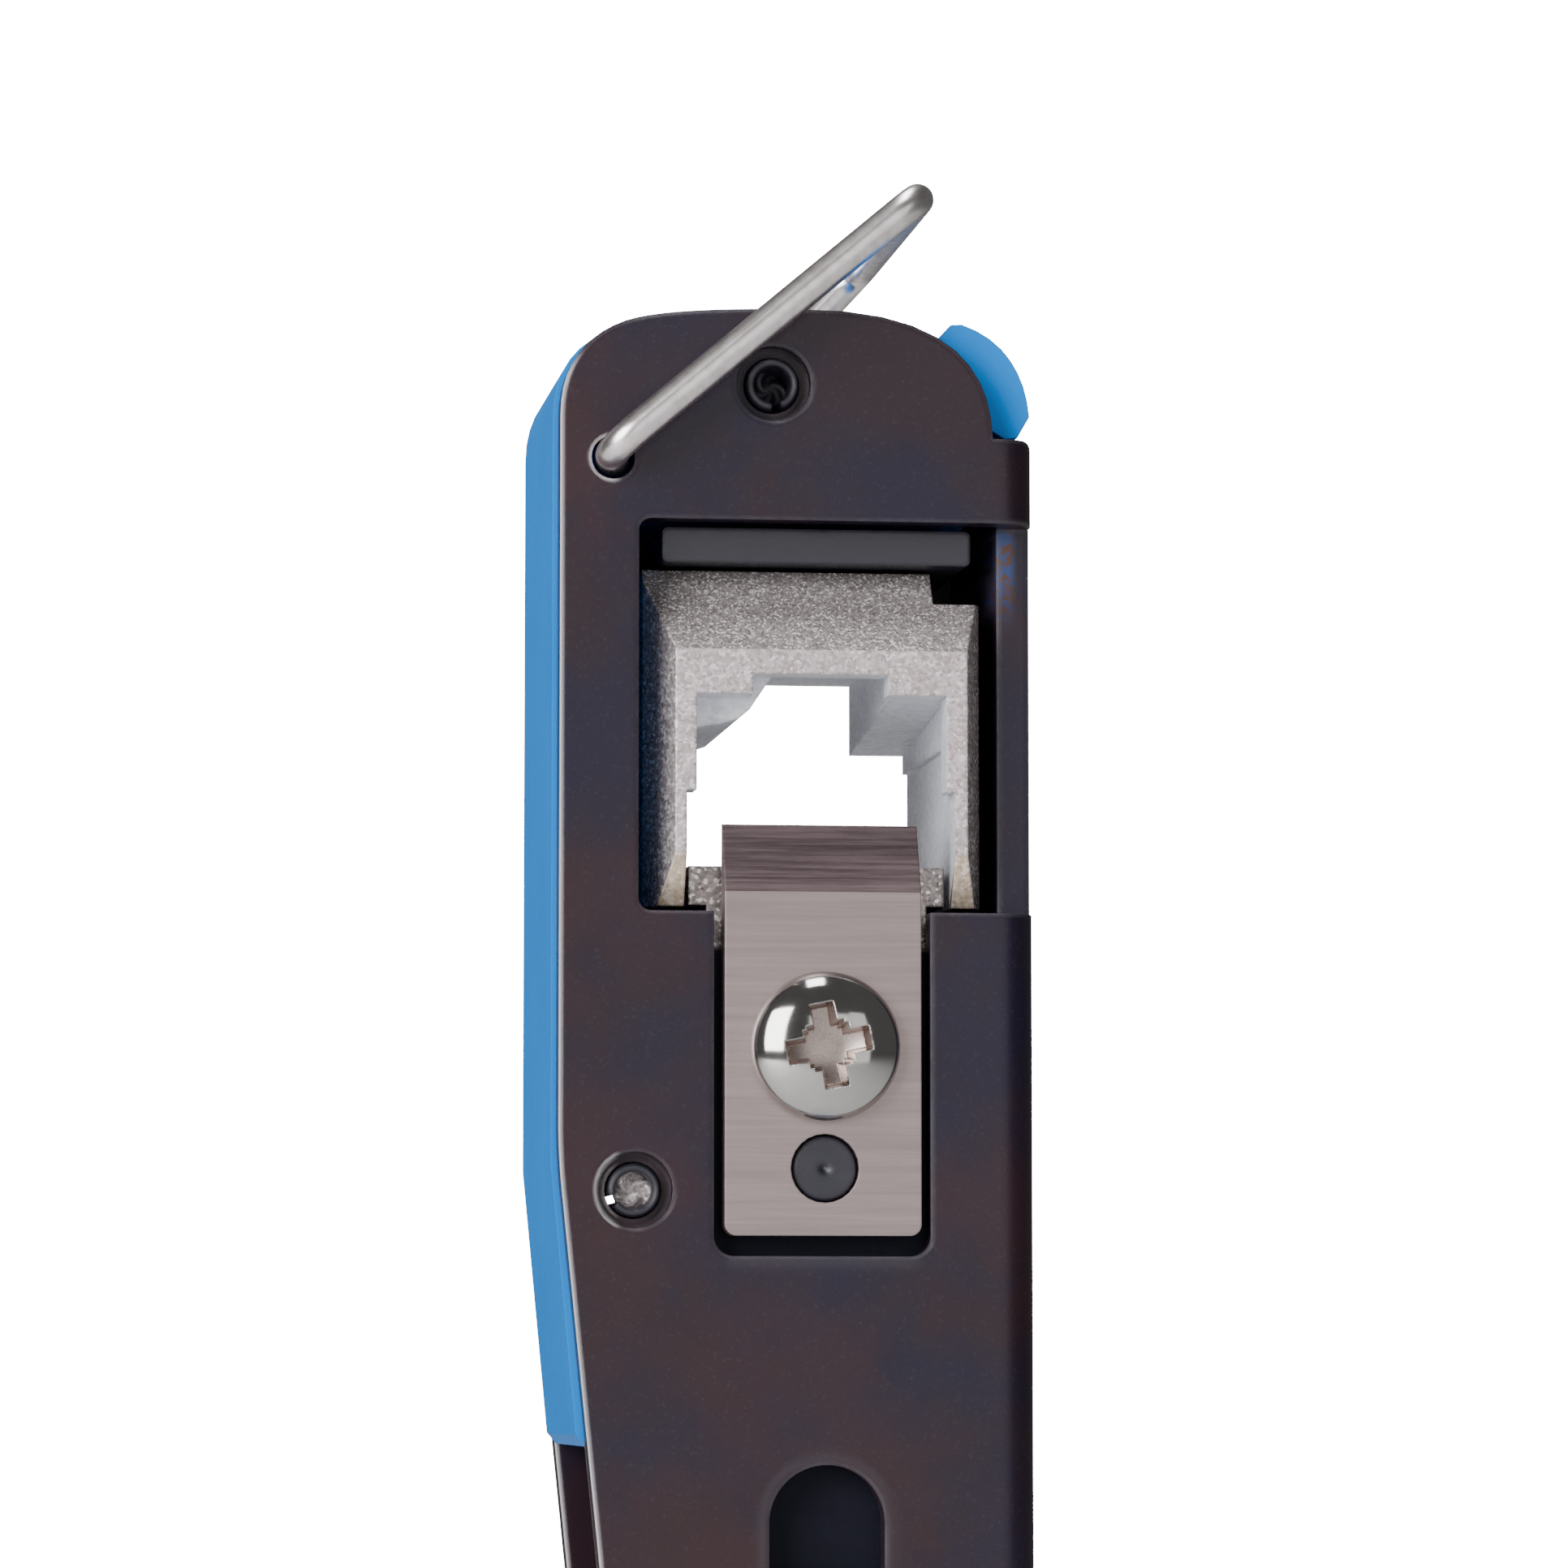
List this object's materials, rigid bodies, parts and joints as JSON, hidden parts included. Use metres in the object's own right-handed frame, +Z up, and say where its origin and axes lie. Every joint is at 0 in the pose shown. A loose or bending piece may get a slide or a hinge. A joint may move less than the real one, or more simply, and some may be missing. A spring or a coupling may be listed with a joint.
{
  "type": "punch down tool",
  "caption": "Squeeze-type punch down tool: a handle lifts a ram with a wire-trimming blade into a cast nest that holds a keystone jack, with a wire bail over the head.",
  "frame": {"origin": "on the flat butt of the fixed handle, on the ram's axis and midway between the cheeks", "axes": "+Z up the tool to its head, -Y out of the cheek that shows the blade, +X towards the web and the fixed handle's back"},
  "size_m": [0.0804, 0.0304, 0.183],
  "materials": {
    "black_steel": "satin black",
    "blue_plastic": "satin moulded",
    "dark_steel": "black oxide",
    "cast_zinc": "as cast, grainy",
    "ground_steel": "brushed across",
    "bright_steel": "bright plated",
    "wire_steel": "drawn wire",
    "black_plastic": "moulded",
    "soft_grip": "soft moulded"
  },
  "bodies": {
    "frame": {"frame_channel": "black_steel", "cover_insert": "blue_plastic", "roll_pin_top": "dark_steel", "roll_pin_lower": "dark_steel", "jack_nest": "cast_zinc", "nest_screw_left": "bright_steel", "nest_screw_right": "bright_steel", "clamp_bar": "dark_steel", "guide_rail": "black_plastic", "spring_stop": "dark_steel", "pivot_pin": "bright_steel", "pivot_bushing_front": "bright_steel", "pivot_bushing_back": "bright_steel", "stop_pin": "dark_steel", "handle_core": "black_plastic", "handle_grip_front": "soft_grip", "handle_grip_back": "soft_grip", "grip_screw_upper": "bright_steel", "grip_screw_lower": "bright_steel"},
    "lever": {"lever_arm": "black_steel", "lever_grip": "soft_grip"},
    "ram": {"ram_body": "dark_steel", "punch_head": "cast_zinc", "cutting_blade": "ground_steel", "blade_screw": "bright_steel", "blade_dowel": "dark_steel", "drive_pin": "dark_steel", "return_spring": "bright_steel"},
    "roller": {"drive_roller": "bright_steel"},
    "bail": {"bail": "wire_steel"}
  },
  "joints": [
    {"name": "lever_squeeze", "type": "hinge", "parent": "frame", "child": "lever", "pos_m": [-0.01045, 0, 0.0921], "axis": [0, -1, 0], "range_deg": [0, 32], "stiffness_Nm_per_rad": 0.15, "springref_deg": -28.65},
    {"name": "ram_lift", "type": "slide", "parent": "frame", "child": "ram", "axis": [0, 0, 1], "range_m": [0, 0.006], "deforming": ["return_spring"]},
    {"name": "roller_spin", "type": "hinge", "parent": "ram", "child": "roller", "pos_m": [0.00015, 0, 0.0952], "axis": [0, 1, 0], "continuous": true},
    {"name": "bail_swing", "type": "hinge", "parent": "frame", "child": "bail", "pos_m": [-0.01305, -0.011, 0.16565], "axis": [0.1173, 0.9926, -0.0316], "range_deg": [-205, 15]}
  ],
  "couplings": [
    {"joint": "ram_lift", "follows": "lever_squeeze", "m_per_rad": 0.01074}
  ]
}
